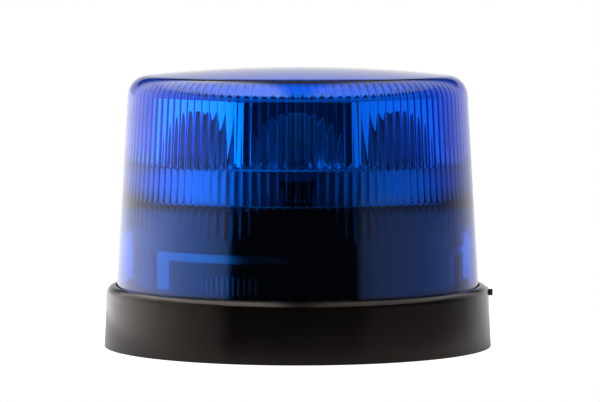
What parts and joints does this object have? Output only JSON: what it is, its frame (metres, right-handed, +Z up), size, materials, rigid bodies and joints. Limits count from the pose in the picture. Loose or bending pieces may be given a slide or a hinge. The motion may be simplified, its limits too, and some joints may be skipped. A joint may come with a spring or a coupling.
{
  "type": "rotating beacon",
  "caption": "Low round blue warning beacon: black three-bolt base, tapered lens fluted inside, and a geared ring of mirrored bowls turning over fixed lamps.",
  "frame": {"origin": "middle of the base's underside", "axes": "+Z up along the rotor's axis, +X out through the lock pin"},
  "size_m": [0.1687, 0.168, 0.1206],
  "materials": {
    "housing_black": "fine moulded grain, satin black",
    "rubber_black": "soft matte rubber",
    "lens_blue": "clear blue polycarbonate, polished outside, fluted inside",
    "drum_black": "glossy moulded black",
    "mirror_coat": "vacuum metallised",
    "sink_aluminium": "bright turned aluminium",
    "board_white": "white solder mask",
    "board_green": "green solder mask",
    "lamp_phosphor": "yellow phosphor under clear resin",
    "steel": "zinc plated",
    "motor_steel": "drawn steel can",
    "pin_black": "black acetal",
    "brass": "turned brass",
    "acetal_white": "natural acetal",
    "carrier_grey": "glass-filled nylon",
    "lead_red": "PVC insulated lead",
    "capacitor_blue": "shrink sleeve",
    "copper": "enamelled copper wire",
    "chip_black": "moulded epoxy",
    "terminal_green": "moulded nylon"
  },
  "bodies": {
    "base": {"base_housing": "housing_black", "mounting_inserts": "brass", "mounting_gasket": "rubber_black", "cable_grommet": "rubber_black", "vent_plug": "rubber_black", "lens_seal": "rubber_black", "lock_bush": "brass", "drive_housing": "drum_black", "housing_screws": "steel", "heat_sink": "sink_aluminium", "led_board": "board_white", "leds": "lamp_phosphor", "lamp_board_screws": "steel", "spindle": "steel", "thrust_washer": "acetal_white", "spindle_clip": "steel", "idler_pin": "steel", "idler_clip": "steel", "motor_case": "motor_steel", "motor_cap": "drum_black", "motor_screws": "steel", "motor_terminals": "brass", "motor_leads": "lead_red", "lamp_leads": "lead_red", "driver_board": "board_green", "board_standoffs": "brass", "board_screws": "steel", "capacitors": "capacitor_blue", "choke": "copper", "regulator": "chip_black", "terminal_block": "terminal_green", "lamp_plug": "acetal_white"},
    "rotor": {"reflector_ring": "mirror_coat", "rotor_carrier": "carrier_grey", "rotor_bushes": "brass", "rotor_screws": "steel", "rotor_gear": "acetal_white"},
    "idler": {"idler_gear": "acetal_white"},
    "motor": {"motor_pinion": "brass", "motor_shaft": "steel"},
    "lens": {"lens": "lens_blue"},
    "lock": {"lock_pin": "pin_black"}
  },
  "joints": [
    {"name": "rotor_spin", "type": "hinge", "parent": "base", "child": "rotor", "pos_m": [0, 0, 0.09], "axis": [0, 0, 1], "continuous": true},
    {"name": "idler_spin", "type": "hinge", "parent": "base", "child": "idler", "pos_m": [0.042, 0, 0.071], "axis": [0, 0, 1], "continuous": true},
    {"name": "motor_spin", "type": "hinge", "parent": "base", "child": "motor", "pos_m": [0.03, 0.02078, 0.068], "axis": [0, 0, 1], "continuous": true},
    {"name": "lens_turn", "type": "hinge", "parent": "base", "child": "lens", "pos_m": [0, 0, 0.02], "axis": [0, 0, 1], "range_deg": [0, 18]},
    {"name": "lock_slide", "type": "slide", "parent": "base", "child": "lock", "axis": [1, 0, 0], "range_m": [0, 0.0015]}
  ],
  "couplings": [
    {"joint": "idler_spin", "follows": "rotor_spin", "ratio": -6},
    {"joint": "motor_spin", "follows": "rotor_spin", "ratio": 18},
    {"joint": "lock_slide", "follows": "lens_turn", "m_per_rad": 0.0047746}
  ]
}
